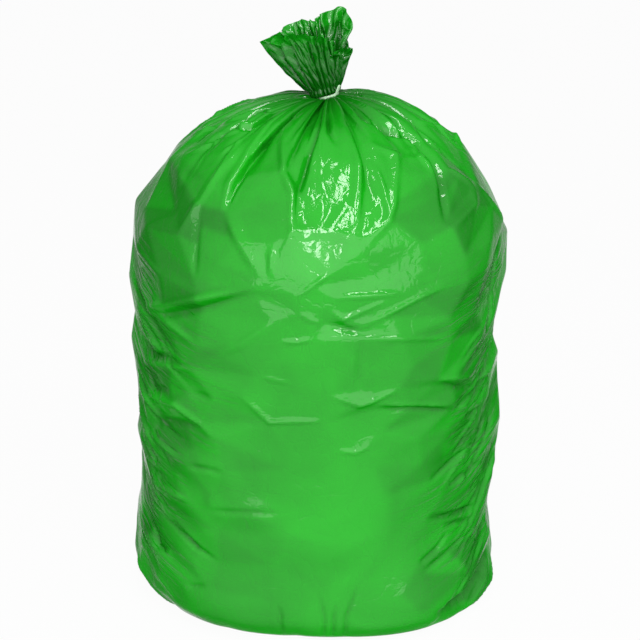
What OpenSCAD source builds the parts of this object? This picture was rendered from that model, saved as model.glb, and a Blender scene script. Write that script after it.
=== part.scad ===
// Filled bin bag, tied at its neck.
// One tube of thin film, gathered flat under the foot, packed full, then pulled
// together at the top and closed with a coated wire tie. Above the tie the film
// that is left over stands up as a loose, ruffled tail.
// Units are millimetres, the floor is z = 0, and the front of the bag faces -Y.

/* [Filled body] */
// Flat width of the empty bag, which is half of the girth of its film
film_w = 700; // [600:5:800]
// Depth from front to back, as a share of the width from side to side
plan_ratio = 0.95; // [0.85:0.01:1]
// Height from the floor to the shoulder, where the dome starts
side_h = 431; // [340:1:500]
// Rise of the dome from the shoulder to its crown
dome_h = 187; // [140:1:240]
// How much the bag draws in between the shoulder and the foot, on the radius
foot_taper = 4; // [0:0.5:20]
// Sway of the lower body to the left
sway = 5; // [0:0.5:12]
// Radius of the soft edge round the foot
foot_round = 46; // [25:1:65]
// Swell of the fuller side of the dome, on the right
swell = 9; // [0:0.5:14]
// Height of the soft bulges that the contents press into the film
bulge = 5; // [0:0.5:8]
// Depth of the slanting stress folds on both flanks
flank_d = 6; // [0:0.5:9]
// Number of those folds on each flank
flank_folds = 6; // [3:1:8]
// Depth of the level folds that cross the body between the flanks
cross_d = 4; // [0:0.5:7]
// Number of those folds, spread all round
cross_folds = 9; // [4:1:14]

/* [Gathers] */
// Number of pleats that run down from the tie over the dome
pleats = 22; // [14:1:24]
// Depth of a pleat on the upper dome
pleat_d = 15; // [4:0.5:20]
// Depth of the short gathers that come round the foot from the bottom seal
foot_pleat_d = 5; // [0:0.5:8]
// Height to which those gathers run up the side
foot_pleat_h = 70; // [30:1:120]
// Diameter of the film bundle inside the tie
neck_d = 25; // [18:0.5:36]
// Height of the tie above the crown of the dome
neck_rise = 2; // [0:0.5:12]
// Offset of the neck to the right of the body's middle
neck_shift = 11; // [0:0.5:16]
// Lean of the neck and the tail to the left
neck_lean = 15; // [0:1:20]

/* [Tail] */
// Reach of the wide flap on the left, from the neck's axis
left_reach = 62; // [40:1:80]
// Height of the wide flap on the left, above the tie
left_rise = 79; // [55:1:100]
// Reach of the tall flap at the back right
back_reach = 57; // [35:1:70]
// Height of the tall flap at the back right
back_rise = 96; // [70:1:130]
// Reach of the small flap on the right
right_reach = 42; // [30:1:60]
// Height of the small flap on the right
right_rise = 45; // [35:1:70]
// Reach of the low edge at the front
front_reach = 26; // [20:1:40]
// Height of the low edge at the front
front_rise = 72; // [45:1:90]
// Depth of the ruffles at the mouth, as a share of the mouth's radius
ruffle = 0.34; // [0:0.02:0.4]
// Wall of the ruffled film, with the air between its plies
film_wall = 2.4; // [1.6:0.1:4]

/* [Tie] */
// Width of the tie's strip
tie_w = 3.2; // [2:0.1:6]
// Thickness of the tie's strip
tie_t = 1.2; // [0.6:0.1:2]
// Gap between the tie and the crests of the film bundle
tie_gap = 0.15; // [0.05:0.05:0.5]
// Length of the twisted ends
tie_end_l = 13; // [8:0.5:20]
// Full turns in the twisted ends
tie_turns = 1.5; // [0.5:0.25:3]
// Direction in which the twisted ends leave the neck, from +X
tie_end_az = -38; // [-80:1:-10]
// Lean of the twisted ends away from the neck
tie_end_lean = 40; // [35:1:60]

/* [Hidden] */

film_colour = "#35a839";
tie_colour = "#cfeec4";

// The twisted ends, as shares of the strip's thickness and width.
end_t = 1.9;
end_w = 0.8;
end_root = 0.8; // how far out in the loop they start

belly_r = film_w / PI;
foot_r = belly_r - foot_taper;
neck_r = neck_d / 2;
tie_z = side_h + dome_h + neck_rise;

// Half of the straight stretch of the bundle, on which the tie sits.
neck_end = tie_w / 2 + 1.2;

// Each pleat is a narrow valley between two broad panels. These are the places of
// its columns across one pitch, and how much of the valley's depth each one takes.
column_at = [0, 0.1, 0.27, 0.5, 0.73, 0.9];
column_depth = [1, 0.42, 0.04, -0.06, 0.04, 0.42];
pleat_columns = len(column_at);
columns = pleats * pleat_columns;

// Pleats are never even: each has its own place, depth and reach down the dome.
// Up the dome, places are angles from the shoulder, and below it they go on down
// the side at the same pace as far as shoulder_run.
// Each row is one pleat, counted round from the right by the back: shift as a share
// of the pitch, weight, and the place where the pleat starts.
pleat_set = [
    [-0.1, 0.8, 32], [0.15, 0.9, 8], [-0.2, 1.1, 20], [0.1, 0.6, 34],
    [-0.05, 1, 10], [0.2, 0.7, 28], [-0.15, 1.2, 16], [0.05, 0.55, 36],
    [0.2, 0.95, 6], [-0.1, 1.1, 24], [0.1, 0.65, 32], [-0.2, 0.9, 12],
    [0, 0.7, 28], [0, 1, 12], [-0.2, 0.6, 30], [-0.39, 1.25, 14],
    [0.08, 0.85, 24], [0.1, 0.45, 44], [-0.15, 0.55, 18], [-0.05, 1.1, 38],
    [-0.3, 0.75, 12], [-0.35, 1, 20],
];
pleat_grow = 48;
shoulder_run = 30;
narrow_share = 0.4; // deepest a pleat may be, as a share of the radius there
foot_weight = rands(-0.6, 1, pleats, 23);

// Depth of the film's crimps inside the tie, as a share of the neck's radius.
neck_crimp = 0.16;

// Soft lumps of the contents: share of the bulge, waves round the body, degrees
// per mm of height, and start.
lumps = [
    [0.25, 3, 1.6, 150],
    [0.25, 3, -0.6, 110],
    [0.3, 5, -0.9, -70],
    [0.25, 2, 1.7, 0],
];

// Folds of the flanks: place up the side, weight, and fall away from the flank.
flank_jog = rands(-0.3, 0.3, 2 * flank_folds, 5);
flank_weight = rands(0.35, 1, 2 * flank_folds, 13);
flank_fall = rands(1.1, 2.8, 2 * flank_folds, 29);
flank_spread = 48;
flank_calm = 16;   // the strip along the flank itself, which stays flatter
calm_share = 0.65;
flank_lift = 0.7;  // the lowest fold's place, in folds above the floor

// Level folds: place up the side, tilt, and spread to each side of their middle.
cross_z = rands(0.25, 0.95, cross_folds, 31);
cross_tilt = rands(-0.9, 0.9, cross_folds, 3);
cross_spread = rands(20, 38, cross_folds, 11);
cross_start = 50;

// Half the width of a fold, across its line.
fold_half = 17;

// How much less the foot is rounded at the flanks, and more at front and back.
foot_oval = 0.22;
// Where the sway is widest, and its band, as shares of the shoulder's height.
sway_at = 0.27;
sway_band = 0.2;
// How far round the dome the swell spreads, and its weaker twin on the left.
swell_spread = 70;
twin_spread = 50;
twin_share = 0.4;

// The tail's mouth, round from the left by the front, the right and the back:
// direction, reach, height and share of the ruffles' depth.
mouth = [
    [-180, left_reach, left_rise, 0.1],
    [-163, left_reach * 0.79, left_rise * 1.02, 0.2],
    [-135, left_reach * 0.52, left_rise * 1.04, 0.4],
    [-107, front_reach, left_rise * 1.02, 0.8],
    [-72, front_reach, front_rise, 1],
    [-43, front_reach * 1.06, front_rise * 0.94, 1],
    [-33, front_reach, front_rise * 0.72, 0.8],
    [-17, right_reach * 0.82, right_rise * 1.1, 0.6],
    [-3, right_reach, right_rise * 1.04, 0.4],
    [9, right_reach * 0.94, right_rise, 0.3],
    [15, back_reach * 0.8, back_rise * 0.66, 0.3],
    [20, back_reach, back_rise * 0.85, 0.3],
    [37, back_reach * 0.79, back_rise, 0.6],
    [46, back_reach * 0.69, back_rise * 0.92, 0.8],
    [60, back_reach * 0.52, back_rise * 0.9, 1],
    [73, back_reach * 0.42, back_rise * 0.83, 1],
    [106, left_reach * 0.36, left_rise * 1.1, 0.8],
    [145, left_reach * 0.43, left_rise * 1.08, 0.5],
    [167, left_reach * 0.56, left_rise * 1.01, 0.3],
    [180, left_reach, left_rise, 0.1],
];

// Share of the side's height over which its relief sets in above the foot.
relief_start = 0.25;
// How late up the dome its crown moves over to the neck.
crown_late = 9;

// Rings of the outline, from the floor up, and the angle at which the dome ends.
foot_rings = 4;
side_rings = 16;
dome_rings = 11;
dome_end = 83;
tail_rings = 6;

// How the tail flares, and the rise of its rim, as a share of the tail's height.
tail_flare = 0.8;
rim = 0.01;

function smooth(t) = let (c = min(max(t, 0), 1)) c * c * (3 - 2 * c);
function wrap(a) = a - 360 * floor((a + 180) / 360);
function bell(x, w) = exp(-x * x / (w * w));

// One value of a pleat's row, for any number of pleats.
function pleat(p, value) = pleat_set[p % pleats % len(pleat_set)][value];

// Direction of a column, with the pleats' uneven pitch.
function pleat_az(p) = (p + pleat(p, 0)) * 360 / pleats;
function column_az(i) =
    let (p = floor(i / pleat_columns), f = column_at[i % pleat_columns])
    pleat_az(p) * (1 - f) + pleat_az(p + 1) * f;

// The pleat whose valley is nearest to a column.
function near_pleat(i) = round(i / pleat_columns) % pleats;

// Depth of a column below the panels: on the dome at an angle up it, and at the foot.
function valley(i, up) =
    let (p = near_pleat(i))
    column_depth[i % pleat_columns] * pleat(p, 1) * smooth((up - pleat(p, 2)) / pleat_grow);
function foot_valley(i, z) =
    column_depth[i % pleat_columns] * max(0, foot_weight[near_pleat(i)])
        * smooth(1 - z / foot_pleat_h);

// A fold across its line: a crest with a shallow valley on each side.
function fold(x) = (1 - 2 * x * x) * exp(-x * x);
function total(list) = list * [for (x = list) 1];

// Soft bulges where the contents press on the film.
function contents(az, z) =
    bulge * total([for (l = lumps) l[0] * sin(l[1] * az + l[2] * z + l[3])]);

// Stress folds that slant down from each flank, deepest a little way in from it.
function flank_fold(off, z, n) =
    let (line = side_h * (n % flank_folds + flank_lift + flank_jog[n]) / flank_folds)
    flank_weight[n] * fold((z - line + flank_fall[n] * abs(off)) / fold_half);
function flank(az, z) =
    let (side = abs(az) > 90 ? 1 : 0)
    let (off = side == 1 ? wrap(az - 180) : az)
    let (first = side * flank_folds)
    let (inward = bell(off, flank_spread) * (1 - calm_share * bell(off, flank_calm)))
    flank_d * inward * total([for (k = [0:flank_folds - 1]) flank_fold(off, z, first + k)]);

// Level folds, each in its own stretch of the girth.
function cross(az, z) = cross_d * total([for (k = [0:cross_folds - 1])
    let (off = wrap(az - 360 * k / cross_folds - cross_start))
    bell(off, cross_spread[k]) * fold((z - side_h * cross_z[k] + cross_tilt[k] * off) / fold_half)]);

function relief(az, z) = contents(az, z) + flank(wrap(az), z) + cross(az, z);

// A point at a radius, a height and a direction, drawn in from front to back by a
// share of the body's plan, and moved over by a shift to the right.
function plan_point(r, z, az, share, shift) =
    [shift + r * cos(az), r * sin(az) * (1 + (plan_ratio - 1) * share), z];

// The foot's soft edge is rounder at the front and back than at the flanks.
function foot_edge(az) = foot_round * (1 - foot_oval * cos(2 * az));
function swaying(z) = -sway * bell(z / side_h - sway_at, sway_band);
function foot_point(i, a) =
    let (az = column_az(i), edge = foot_edge(az), z = edge * (1 - cos(a)))
    let (r = foot_r - edge * (1 - sin(a)) - foot_pleat_d * foot_valley(i, z))
    plan_point(r, z, az, 1, swaying(z));
function side_point(i, t) =
    let (az = column_az(i), foot_z = foot_edge(az), z = foot_z + (side_h - foot_z) * t)
    let (soft = relief(az, z) * smooth(t / relief_start))
    let (folded = pleat_d * valley(i, (t - 1) * shoulder_run) + foot_pleat_d * foot_valley(i, z))
    let (r = foot_r + (belly_r - foot_r) * sin(90 * t) + soft - folded)
    plan_point(r, z, az, 1, swaying(z));

// The dome is pushed along its normal, then swells on the right, most of all where
// the tangent of its angle is 2, and its crown moves over to the neck.
function swell_up(up) = pow(sin(up), 4) * cos(up);
function swelling(az, up) =
    let (side = bell(wrap(az), swell_spread) + twin_share * bell(wrap(az - 180), twin_spread))
    swell * side * swell_up(up) / swell_up(atan(2));
function dome_point(i, up) =
    let (az = column_az(i), r = belly_r * cos(up), z = side_h + dome_h * sin(up))
    let (push = relief(az, z) * cos(up) - min(pleat_d, narrow_share * r) * valley(i, up))
    plan_point(r + push * cos(up), z + push * sin(up) + swelling(az, up), az, cos(up),
        neck_shift * pow(sin(up), crown_late));

// The neck and the tail lean together about the middle of the tie.
function leaning(p) =
    [neck_shift + p[0] * cos(neck_lean) - p[2] * sin(neck_lean), p[1],
        tie_z + p[0] * sin(neck_lean) + p[2] * cos(neck_lean)];
function neck_point(i, z) =
    let (r = neck_r * (1 - neck_crimp * max(0, column_depth[i % pleat_columns])))
    leaning(plan_point(r, z, column_az(i), 0, 0));

// A point of the tail at a share of its height, set in by the wall on its inside.
function mouth_at(az, column) = lookup(wrap(az), [for (m = mouth) [m[0], m[column]]]);
function tail_point(i, s, inset) =
    let (az = column_az(i), depth = ruffle * mouth_at(az, 3) - neck_crimp)
    let (fold = column_depth[i % pleat_columns] * pleat(near_pleat(i), 1))
    let (r = neck_r + (mouth_at(az, 1) - neck_r) * pow(s, tail_flare))
    let (ruffled = r * (1 - (neck_crimp + depth * s) * fold) - inset)
    leaning(plan_point(ruffled, neck_end + mouth_at(az, 2) * s, az, 0, 0));

every_column = [0:columns - 1];
rings = concat(
    [for (k = [0:foot_rings - 1]) [for (i = every_column) foot_point(i, 90 * k / foot_rings)]],
    [for (k = [0:side_rings]) [for (i = every_column) side_point(i, k / side_rings)]],
    [for (k = [1:dome_rings]) [for (i = every_column) dome_point(i, dome_end * k / dome_rings)]],
    [for (z = [-neck_end, neck_end]) [for (i = every_column) neck_point(i, z)]],
    [for (k = [1:tail_rings]) [for (i = every_column) tail_point(i, k / tail_rings, 0)]],
    [for (k = [tail_rings:-1:2])
        [for (i = every_column) tail_point(i, k / tail_rings - rim, film_wall)]]
);

// Rings of points joined by triangles, and closed by a flat face at each end.
module ring_skin(rings) {
    n = len(rings[0]);
    last = len(rings) - 1;
    walls = [for (k = [0:last - 1]) for (i = [0:n - 1])
        let (a = k * n + i, b = k * n + (i + 1) % n)
        each [[a, a + n, b], [b, a + n, b + n]]];
    foot = [for (i = [0:n - 1]) i];
    throat = [for (i = [n - 1:-1:0]) last * n + i];
    polyhedron(points = [for (ring = rings) each ring], faces = concat([foot], walls, [throat]));
}

module bag() {
    color(film_colour) ring_skin(rings);
}

// A coated wire strip, bent once round the neck.
module tie_loop() {
    rotate_extrude($fn = 96)
        translate([neck_r + tie_gap, 0]) {
            translate([0, -tie_w / 2 + tie_t / 4]) square([tie_t, tie_w - tie_t / 2]);
            translate([tie_t / 4, -tie_w / 2]) square([tie_t / 2, tie_w]);
        }
}

// Its two ends, laid together and twisted.
module tie_ends() {
    rotate([0, 0, tie_end_az])
        translate([neck_r + tie_gap + tie_t * end_root, 0, 0])
            rotate([0, tie_end_lean, 0])
                linear_extrude(height = tie_end_l, twist = 360 * tie_turns, slices = 24)
                    square([tie_t * end_t, tie_w * end_w], center = true);
}

module neck_tie() {
    color(tie_colour)
        translate([neck_shift, 0, tie_z])
            rotate([0, -neck_lean, 0]) {
                tie_loop();
                tie_ends();
            }
}

bag();
neck_tie();
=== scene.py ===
import bpy
import math
import numpy as np
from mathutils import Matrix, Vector
from mathutils.bvhtree import BVHTree
from mathutils.geometry import delaunay_2d_cdt


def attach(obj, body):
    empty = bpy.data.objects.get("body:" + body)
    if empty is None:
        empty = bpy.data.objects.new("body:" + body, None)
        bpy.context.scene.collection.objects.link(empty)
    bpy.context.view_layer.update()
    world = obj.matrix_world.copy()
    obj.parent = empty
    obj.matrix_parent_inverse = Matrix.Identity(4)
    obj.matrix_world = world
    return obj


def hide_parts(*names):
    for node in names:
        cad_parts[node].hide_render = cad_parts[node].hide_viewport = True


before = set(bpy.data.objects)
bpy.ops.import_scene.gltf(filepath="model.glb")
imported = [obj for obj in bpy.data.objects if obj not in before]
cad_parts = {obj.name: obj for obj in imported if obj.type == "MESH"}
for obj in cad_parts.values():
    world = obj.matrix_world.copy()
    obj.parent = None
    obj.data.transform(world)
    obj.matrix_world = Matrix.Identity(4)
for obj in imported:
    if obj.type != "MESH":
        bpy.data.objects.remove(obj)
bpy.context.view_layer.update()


# Film of the bag
# One blown tube of thin green plastic film, sealed across the bottom. It is gathered
# flat under the load, lies loosely over what is packed inside, and is drawn together
# into pleats at the neck. Above the tie the same tube opens again as a ruffled tail.

film_columns = 352
belly_radius = 0.2228
foot_radius = 0.2188
foot_edge = 0.046
shoulder = 0.431
dome_rise = 0.187
dome_end = math.radians(82)
crown_shift = 0.011
crown_late = 9
neck_radius = 0.0125
neck_axis = Vector((0.011, 0.0, 0.620))
neck_lean = math.radians(15)
neck_half = 0.0021

# The film's rows, from the middle of the foot up to the dome's end, as radius and height.
flat_rows, edge_rows, side_rows, dome_rows = 10, 18, 106, 86
funnel_rows, neck_rows, tail_rows = 7, 3, 44
innermost = 0.006
dome_spacing = 0.93
flat = [
    (r, 0.0) for r in np.linspace(innermost, foot_radius - foot_edge, flat_rows, endpoint=False)
]
edge = [
    (foot_radius - foot_edge * (1 - math.sin(a)), foot_edge * (1 - math.cos(a)))
    for a in np.linspace(0, math.pi / 2, edge_rows, endpoint=False)
]
side = [
    (foot_radius + (belly_radius - foot_radius) * math.sin(t * math.pi / 2),
     foot_edge + (shoulder - foot_edge) * t)
    for t in np.linspace(0, 1, side_rows, endpoint=False)
]
dome = [
    (belly_radius * math.cos(a), shoulder + dome_rise * math.sin(a))
    for a in dome_end * np.linspace(0, 1, dome_rows) ** dome_spacing
]
outline = np.array(flat + edge + side + dome)
body_rows = len(outline)

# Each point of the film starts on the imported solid, straight in from the plain outline.
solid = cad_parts["bag"]
solid_tree = BVHTree.FromPolygons(
    [v.co for v in solid.data.vertices], [tuple(p.vertices) for p in solid.data.polygons]
)
run = np.gradient(outline, axis=0)
run /= np.linalg.norm(run, axis=1)[:, None]
turns = 2 * math.pi * np.arange(film_columns) / film_columns
side_search, crown_search, crown_from = 0.03, 0.02, 0.6


def on_solid(base, outward, search):
    hit = solid_tree.ray_cast(base + outward * search, -outward, search * 2)[0]
    return base if hit is None else hit


def crown_moved(z):
    """How far the dome's middle lies to the right of the foot's, at a height."""
    return crown_shift * max(0.0, (z - shoulder) / dome_rise) ** crown_late


guide = []
for (radius, z), (along_r, along_z) in zip(outline, run):
    row = []
    for turn in turns:
        c, s = math.cos(turn), math.sin(turn)
        outward = Vector((c * along_z, s * along_z, -along_r))
        base = Vector((crown_moved(z) + radius * c, radius * s, z))
        row.append(on_solid(base, outward, crown_search if z > crown_from else side_search))
    guide.append(row)

# The mouth of the tail: direction in degrees, reach from the neck's axis and height.
mouth = np.array([
    (-180, 0.062, 0.079), (-163, 0.049, 0.081), (-135, 0.032, 0.082), (-107, 0.027, 0.080),
    (-72, 0.027, 0.072), (-43, 0.028, 0.067), (-33, 0.026, 0.052), (-17, 0.034, 0.049),
    (-3, 0.042, 0.047), (9, 0.039, 0.045), (15, 0.045, 0.063), (20, 0.057, 0.082),
    (37, 0.045, 0.096), (46, 0.039, 0.088), (60, 0.030, 0.086), (73, 0.024, 0.080),
    (106, 0.022, 0.087), (145, 0.027, 0.085), (167, 0.035, 0.080), (180, 0.062, 0.079),
])
lean_c, lean_s = math.cos(neck_lean), math.sin(neck_lean)


def leaning(x, y, z):
    return (neck_axis.x + x * lean_c - z * lean_s, y, neck_axis.z + x * lean_s + z * lean_c)


def wavy(angles, waves, seed):
    """An uneven line round the bag, from -1 to 1."""
    draw = np.random.RandomState(seed)
    total = sum(draw.normal() * np.cos(w * angles + draw.uniform(0, 2 * math.pi)) for w in waves)
    return total / np.abs(total).max()


def wrapped(angle):
    """The same direction as an angle from -180 to 180 degrees."""
    return (angle + 180) % 360 - 180


# Pleats of the bundle and of the tail: uneven valleys with broad panels between them.
pleats = 19
pleat_uneven = 0.32
pleat_sharpness = 1.2
pleat_draw = np.random.RandomState(17)
degrees = np.degrees(turns)
valleys = np.zeros(film_columns)
pleat_at = np.arange(pleats) + pleat_draw.uniform(-pleat_uneven, pleat_uneven, pleats)
half_widths = pleat_draw.uniform(4, 9, pleats)
depths = pleat_draw.uniform(0.35, 1.0, pleats)
for middle, half_width, depth in zip(-180 + 360 * pleat_at / pleats, half_widths, depths):
    off = np.abs(wrapped(degrees - middle))
    valley = np.clip(1 - off / half_width, 0, 1) ** pleat_sharpness
    valleys = np.maximum(valleys, depth * valley)

# The rim stands a little higher than on the solid, is uneven, and dips in the valleys.
rim_height, rim_uneven, rim_dip = 1.05, 0.025, 0.003
facing = wrapped(degrees)
mouth_reach = np.interp(facing, mouth[:, 0], mouth[:, 1])
mouth_rise = np.interp(facing, mouth[:, 0], mouth[:, 2])
rim_line = rim_height + rim_uneven * wavy(turns, range(7, 20), 4)
mouth_rise = mouth_rise * rim_line - rim_dip * valleys
neck_pleat = 0.16
for z in np.linspace(-neck_half, neck_half, neck_rows):
    ring = neck_radius * (1 - neck_pleat * valleys)
    guide.append([leaning(r * math.cos(t), r * math.sin(t), z) for r, t in zip(ring, turns)])

# Just above the tie the folds stand proud of it, and on the left they hang over it. The
# pleats deepen towards the mouth, less so under the wide left flap.
hang = 0.5 - 0.5 * np.cos(np.radians(np.clip((-70 - facing) * 2.2, 0, 360)))
lip = 0.0026 * (1 - 0.7 * valleys)
hang_drop = 0.0024
pleat_low, pleat_growth, flap_calm = 0.16, 0.18, 0.7
rise_curve, reach_curve = 1.05, 0.8
rim_roll, front_roll, roll_drop = 0.008, 0.003, 0.001
rolls = 0.5 + 0.5 * wavy(turns, range(2, 9), 6)
front_of_rim = np.exp(-(((facing + 112) / 40) ** 2))
for share in np.linspace(0, 1, tail_rows + 1)[1:]:
    rise = neck_half + (mouth_rise - neck_half) * share ** rise_curve
    reach = neck_radius + (mouth_reach - neck_radius) * share ** reach_curve
    proud = lip * (1 + 0.4 * hang) * math.exp(-((share - 0.03) / 0.05) ** 2)
    rise = rise - hang * hang_drop * math.exp(-((share - 0.02) / 0.025) ** 2)
    fold_depth = (pleat_low + pleat_growth * share) * (1 - flap_calm * hang * share)
    ring = reach * (1 - fold_depth * valleys) + proud
    # The rim is rolled outwards here and there, and at the front all along.
    rolled = max(0.0, (share - 0.86) / 0.14) ** 2 * rolls
    ring = ring + rim_roll * rolled
    rise = rise - roll_drop * rolled
    turned_over = max(0.0, (share - 0.84) / 0.16) ** 2 * front_of_rim
    ring = ring + front_roll * turned_over
    rise = rise - roll_drop * turned_over
    guide.append([
        leaning(r * math.cos(t), r * math.sin(t), z) for r, t, z in zip(ring, turns, rise)
    ])
guide = np.array([[tuple(p) for p in row] for row in guide])

# A short funnel joins the dome to the neck.
below, above = guide[body_rows - 1], guide[body_rows]
steps = np.linspace(0, 1, funnel_rows + 2)[1:-1, None, None]
guide = np.concatenate([guide[:body_rows], below + (above - below) * steps, guide[body_rows:]])
rows = len(guide)
neck_row = body_rows + funnel_rows
tail_row = neck_row + neck_rows


def soften(grid, times):
    for _ in range(times):
        grid = (np.roll(grid, 1, 1) + np.roll(grid, -1, 1)) * 0.25 + grid * 0.5
        grid[1:-1] = (grid[:-2] + grid[2:]) * 0.25 + grid[1:-1] * 0.5
    return grid


def normals_of(grid):
    across = np.roll(grid, -1, 1) - np.roll(grid, 1, 1)
    up = np.gradient(grid, axis=0)
    n = np.cross(across, up)
    return n / (np.linalg.norm(n, axis=2)[..., None] + 1e-12)


def patches(size, seed):
    """Smooth random relief over the film, with patches of about size points."""
    rough = np.random.RandomState(seed).normal(size=(rows, film_columns))
    line = np.fft.fftfreq(rows)[:, None] ** 2 + np.fft.fftfreq(film_columns)[None, :] ** 2
    smooth = np.real(np.fft.ifft2(np.fft.fft2(rough) * np.exp(-line * (size * 2.2) ** 2)))
    return smooth / smooth.std()


def round_about(middle, spread):
    """A share that is 1 at a direction and fades on both its sides, in degrees."""
    off = np.abs(wrapped(facing - middle))
    return np.exp(-((off / spread) ** 2))


# The load spreads the foot, most of all to its right corner at the front, and squashes it.
spread_out = (0.009 * round_about(180, 40) + 0.007 * round_about(0, 40)
              + 0.015 * round_about(-52, 32) + 0.007 * round_about(-122, 26))
squashed = 0.5 * (round_about(-55, 35) + 0.5 * round_about(-122, 30))
low_middle, low_spread, squash_top = 0.030, 0.045, 0.05
under_foot = 0.17
low = np.exp(-(((guide[:neck_row, :, 2] - low_middle) / low_spread) ** 2))
from_middle = np.hypot(guide[:neck_row, :, 0], guide[:neck_row, :, 1])
low = low * np.minimum(1, from_middle / under_foot) ** 3
guide[:neck_row, :, 0] += low * spread_out * np.cos(np.radians(facing))
guide[:neck_row, :, 1] += low * spread_out * np.sin(np.radians(facing))
lowest = np.clip(1 - guide[:neck_row, :, 2] / squash_top, 0, 1)
guide[:neck_row, :, 2] *= 1 - lowest * squashed
guide = np.concatenate([soften(guide[:neck_row].copy(), 2), guide[neck_row:]])

# How much longer the film is than its way over the contents, round, upwards and aslant.
angle = degrees[None, :] * np.ones((rows, 1))
flank = np.exp(-(((angle + 90) % 180 - 90) / 42) ** 2)
height = guide[..., 2]
on_side = np.clip((height - 0.02) / 0.08, 0, 1) * np.clip((0.52 - height) / 0.12, 0, 1)
on_side[neck_row:] = 0
on_dome = np.clip((height - 0.42) / 0.12, 0, 1)
on_dome[neck_row:] = 0
from_middle = np.hypot(guide[..., 0] - 0.005, guide[..., 1])
gathered_in = np.clip(1 - from_middle / belly_radius, 0, 1)
slack_up = on_side * (0.014 + 0.014 * flank + 0.008 * patches(22, 3)) - 0.004 * on_dome
slack_up[tail_row:] = 0.01
slack_round = 0.004 + on_dome * 0.22 * gathered_in ** 1.2
slack_round[neck_row:tail_row] = 0.0
slack_round[tail_row:] = np.linspace(0.0, 0.03, rows - tail_row)[:, None]
slant = 0.020 * on_side * np.sin(np.radians(2 * angle))

# The contents press soft lumps into the film, and the tail is crumpled towards its rim.
lumps = 0.0018 * patches(17, 8) + 0.0005 * patches(7, 9)
guide += normals_of(guide) * (lumps * (on_side * 0.8 + on_dome * 0.25))[..., None]
crumple = np.zeros((rows, 1))
crumple[tail_row + 4:, 0] = np.linspace(0, 0.0011, rows - tail_row - 4)
guide += normals_of(guide) * (crumple * patches(4, 21))[..., None]


def pull(a, b, rest, share):
    """Moves two sets of points towards their rest length apart."""
    d = b - a
    length = np.sqrt(np.einsum("...i,...i", d, d))[..., None]
    d *= (length - rest) / (length + 1e-9) * (0.5 * share)
    a += d
    b -= d


# How fast the film comes to rest, how stiff it is, how firmly it is held near the contents,
# how hard they push it out, and how often it takes its own lengths again at each step.
drag, stiffness, held_share, push, sweeps = 0.92, 0.03, 0.02, 0.00002, 3
foot_share = 0.045


def settle(film, guide, slack_up, slack_round, slant, steps):
    """Lets the film find its folds: it keeps its own lengths, resists bending, is held
    near the contents and can't move at the tie."""
    n_rows = len(film)
    normal = normals_of(soften(guide.copy(), 3)).astype(np.float32)
    guide = guide.astype(np.float32)
    film = film.astype(np.float32)
    around = np.linalg.norm(np.roll(guide, -1, 1) - guide, axis=2) * (1 + slack_round)
    upward = np.linalg.norm(guide[1:] - guide[:-1], axis=2)
    upward *= 1 + (slack_up[1:] + slack_up[:-1]) / 2
    middle = (around[1:] + around[:-1]) / 2
    corner = np.sqrt(middle ** 2 + ((upward + np.roll(upward, -1, 1)) / 2) ** 2)
    rising, falling = corner * (1 + slant[1:]), corner * (1 - slant[1:])
    around, upward, rising, falling = (
        m[..., None].astype(np.float32) for m in (around, upward, rising, falling))
    free = np.ones((n_rows, 1, 1), np.float32)
    free[: int(foot_share * n_rows)] = 0
    neck_a, neck_b = int(neck_row * n_rows / rows), int(math.ceil(tail_row * n_rows / rows)) + 2
    free[neck_a:neck_b] = 0
    held = np.full((n_rows, 1, 1), held_share, np.float32)
    before = film.copy()
    for _ in range(steps):
        move = (film - before) * drag
        before = film.copy()
        film += move * free
        off = np.einsum("...i,...i", guide - film, normal)[..., None]
        film += normal * (np.where(off > 0, off * held * 3, off * held) + push) * free
        film += (guide - film) * (0.1 * held)
        for _ in range(sweeps):
            pull(film[:, 0:-1:2], film[:, 1::2], around[:, 0:-1:2], 1.0)
            pull(film[:, 1:-1:2], film[:, 2::2], around[:, 1:-1:2], 1.0)
            pull(film[:, -1], film[:, 0], around[:, -1], 1.0)
            for s in (0, 1):
                n = (n_rows - s) // 2
                a, b = slice(s, s + 2 * n - 1, 2), slice(s + 1, s + 2 * n, 2)
                pull(film[a], film[b], upward[a], 1.0)
                pull(film[a, :-1], film[b, 1:], rising[a, :-1], 0.5)
                pull(film[a, -1], film[b, 0], rising[a, -1], 0.5)
                pull(film[a, 1:], film[b, :-1], falling[a, :-1], 0.5)
                pull(film[a, 0], film[b, -1], falling[a, -1], 0.5)
            film = np.where(free > 0, film, guide)
        bend = np.roll(film, 1, 1) + np.roll(film, -1, 1) - 2 * film
        film -= (np.roll(bend, 1, 1) + np.roll(bend, -1, 1) - 2 * bend) * stiffness
        bend = film[:-2] + film[2:] - 2 * film[1:-1]
        film[2:-2] -= (bend[:-2] + bend[2:] - 2 * bend[1:-1]) * stiffness
        film = np.where(free > 0, film, guide)
    return film


def finer(grid, shape):
    """The settled half grid, brought up to every point of the film."""
    wide = np.empty((grid.shape[0], shape[1], 3))
    wide[:, 0::2] = grid
    wide[:, 1::2] = (grid * 9 + np.roll(grid, -1, 1) * 9 - np.roll(grid, 1, 1)
                     - np.roll(grid, -2, 1)) / 16
    full = np.empty((shape[0], shape[1], 3))
    full[0::2] = wide
    inner = (wide[:-1] + wide[1:]) / 2
    inner[1:-1] = (wide[1:-2] * 9 + wide[2:-1] * 9 - wide[:-3] - wide[3:]) / 16
    odd = full[1::2].shape[0]
    full[1::2] = inner[:odd] if len(inner) >= odd else np.concatenate([inner, wide[-1:]])
    return full


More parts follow.
